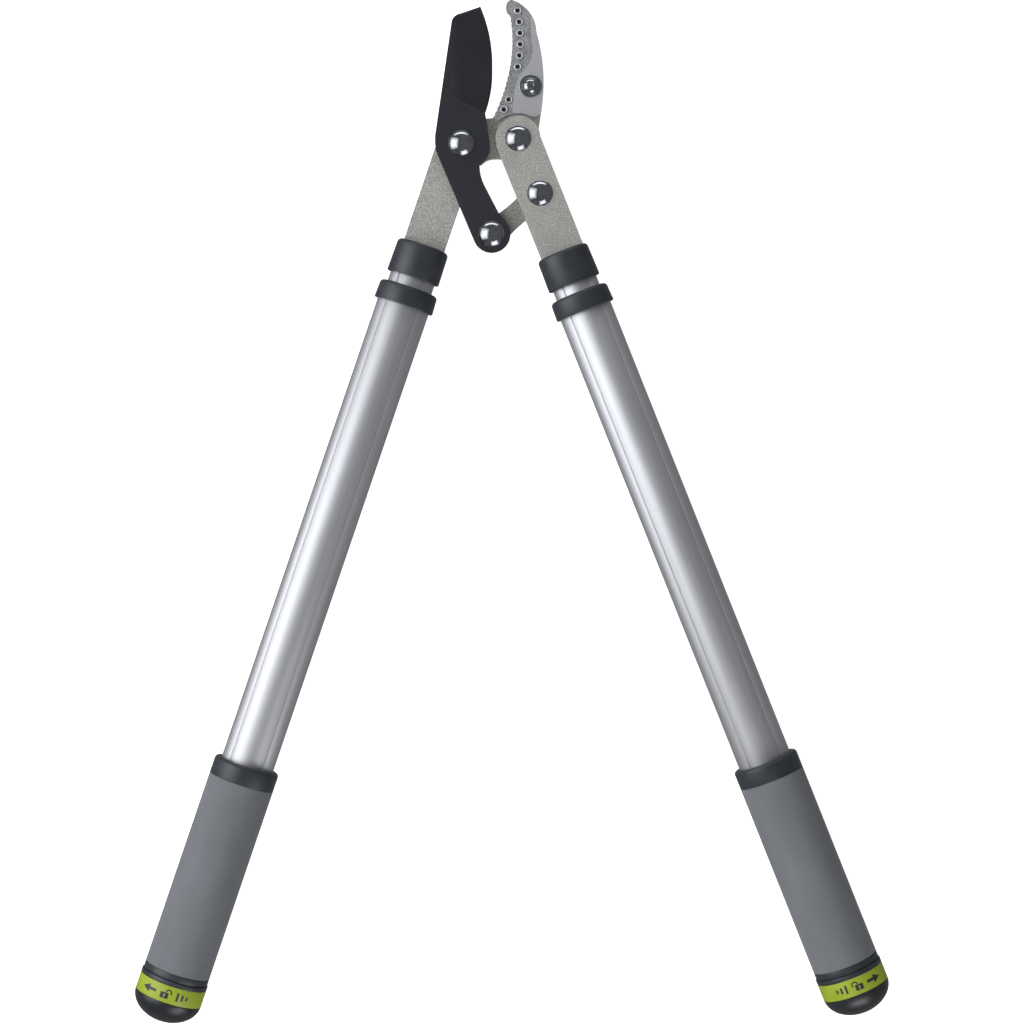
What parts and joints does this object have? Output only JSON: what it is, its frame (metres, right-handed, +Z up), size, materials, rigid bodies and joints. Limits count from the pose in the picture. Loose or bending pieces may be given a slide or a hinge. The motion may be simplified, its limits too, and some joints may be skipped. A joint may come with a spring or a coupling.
{
  "type": "bypass loppers",
  "caption": "Long-handled bypass loppers: curved blade and hooked jaw driven by a four-bar linkage, on telescopic twist-lock handles with cushioned grips.",
  "frame": {"origin": "middle of the underside of the tool as it lies flat", "axes": "+Y from the grips towards the tip of the blade, +X from the left handle to the right handle, +Z up from the surface it lies on"},
  "size_m": [0.4822, 0.6548, 0.0436],
  "materials": {
    "arm_paint": "hammered champagne grey paint on steel",
    "link_paint": "hammered grey paint on steel",
    "blade_coating": "blue-black low-friction coating on hardened steel",
    "cast_hook": "fine-grained grey casting",
    "chrome": "polished",
    "zinc_steel": "zinc plated",
    "anodised_tube": "satin anodised extrusion",
    "black_plastic": "satin moulded plastic",
    "inner_plastic": "plain moulded plastic",
    "grip_rubber": "soft matt grip",
    "green_band": "lime green moulded plastic"
  },
  "bodies": {
    "head": {"left_arm": "arm_paint", "hook": "cast_hook", "hook_screw": "chrome", "hook_screw_washers": "chrome", "hook_screw_nut": "zinc_steel", "blade_bolt": "chrome", "blade_spacer": "zinc_steel", "blade_washer": "zinc_steel", "blade_nut": "zinc_steel", "arm_bolt": "chrome", "arm_spacer": "zinc_steel", "arm_washer": "zinc_steel", "arm_nut": "zinc_steel", "left_collar": "black_plastic", "left_tang_plug": "inner_plastic", "left_tang_pins": "zinc_steel", "left_inner_tube": "anodised_tube", "left_tube_plug": "inner_plastic"},
    "right_arm": {"right_arm": "arm_paint", "arm_rivet": "chrome", "right_collar": "black_plastic", "right_tang_plug": "inner_plastic", "right_tang_pins": "zinc_steel", "right_inner_tube": "anodised_tube", "right_tube_plug": "inner_plastic"},
    "blade": {"blade": "blade_coating", "tail_rivet": "chrome"},
    "link": {"link": "link_paint"},
    "left_handle": {"left_outer_tube": "anodised_tube", "left_tube_ring": "black_plastic", "left_guide_bush": "inner_plastic", "left_grip_ring": "black_plastic", "left_grip_sleeve": "grip_rubber", "left_end_ring": "black_plastic"},
    "left_knob": {"left_knob_hub": "black_plastic", "left_knob_clip": "zinc_steel", "left_band": "green_band", "left_end_cap": "black_plastic", "left_lock_rod": "zinc_steel"},
    "left_cam": {"left_lock_cam": "inner_plastic"},
    "right_handle": {"right_outer_tube": "anodised_tube", "right_tube_ring": "black_plastic", "right_guide_bush": "inner_plastic", "right_grip_ring": "black_plastic", "right_grip_sleeve": "grip_rubber", "right_end_ring": "black_plastic"},
    "right_knob": {"right_knob_hub": "black_plastic", "right_knob_clip": "zinc_steel", "right_band": "green_band", "right_end_cap": "black_plastic", "right_lock_rod": "zinc_steel"},
    "right_cam": {"right_lock_cam": "inner_plastic"}
  },
  "joints": [
    {"name": "handle_pivot", "type": "hinge", "parent": "head", "child": "right_arm", "pos_m": [0.00401, 0.23788, 0.0218], "axis": [0, 0, 1], "range_deg": [-28, 34]},
    {"name": "blade_pivot", "type": "hinge", "parent": "head", "child": "blade", "pos_m": [-0.03229, 0.23498, 0.0218], "axis": [0, 0, 1], "range_deg": [-18, 22]},
    {"name": "link_pivot", "type": "hinge", "parent": "blade", "child": "link", "pos_m": [-0.01289, 0.17698, 0.0218], "axis": [0, 0, 1], "range_deg": [-19, 16]},
    {"name": "left_extension", "type": "slide", "parent": "head", "child": "left_handle", "axis": [-0.3219, -0.9468, 0], "range_m": [0, 0.32]},
    {"name": "left_twist_lock", "type": "hinge", "parent": "left_handle", "child": "left_knob", "pos_m": [-0.21743, -0.30359, 0.0218], "axis": [-0.3219, -0.9468, 0], "range_deg": [0, 90]},
    {"name": "left_cam_turn", "type": "hinge", "parent": "head", "child": "left_cam", "pos_m": [-0.20134, -0.25625, 0.0218], "axis": [-0.3219, -0.9468, 0], "range_deg": [0, 90]},
    {"name": "right_extension", "type": "slide", "parent": "right_arm", "child": "right_handle", "axis": [0.3704, -0.9289, 0], "range_m": [0, 0.32]},
    {"name": "right_twist_lock", "type": "hinge", "parent": "right_handle", "child": "right_knob", "pos_m": [0.21724, -0.29849, 0.0218], "axis": [-0.3704, 0.9289, 0], "range_deg": [0, 90]},
    {"name": "right_cam_turn", "type": "hinge", "parent": "right_arm", "child": "right_cam", "pos_m": [0.19872, -0.25204, 0.0218], "axis": [-0.3704, 0.9289, 0], "range_deg": [0, 90]}
  ],
  "couplings": [
    {"joint": "blade_pivot", "follows": "handle_pivot", "ratio": 0.6325},
    {"joint": "link_pivot", "follows": "handle_pivot", "ratio": -0.5525},
    {"joint": "left_cam_turn", "follows": "left_twist_lock", "ratio": 1},
    {"joint": "right_cam_turn", "follows": "right_twist_lock", "ratio": 1}
  ]
}
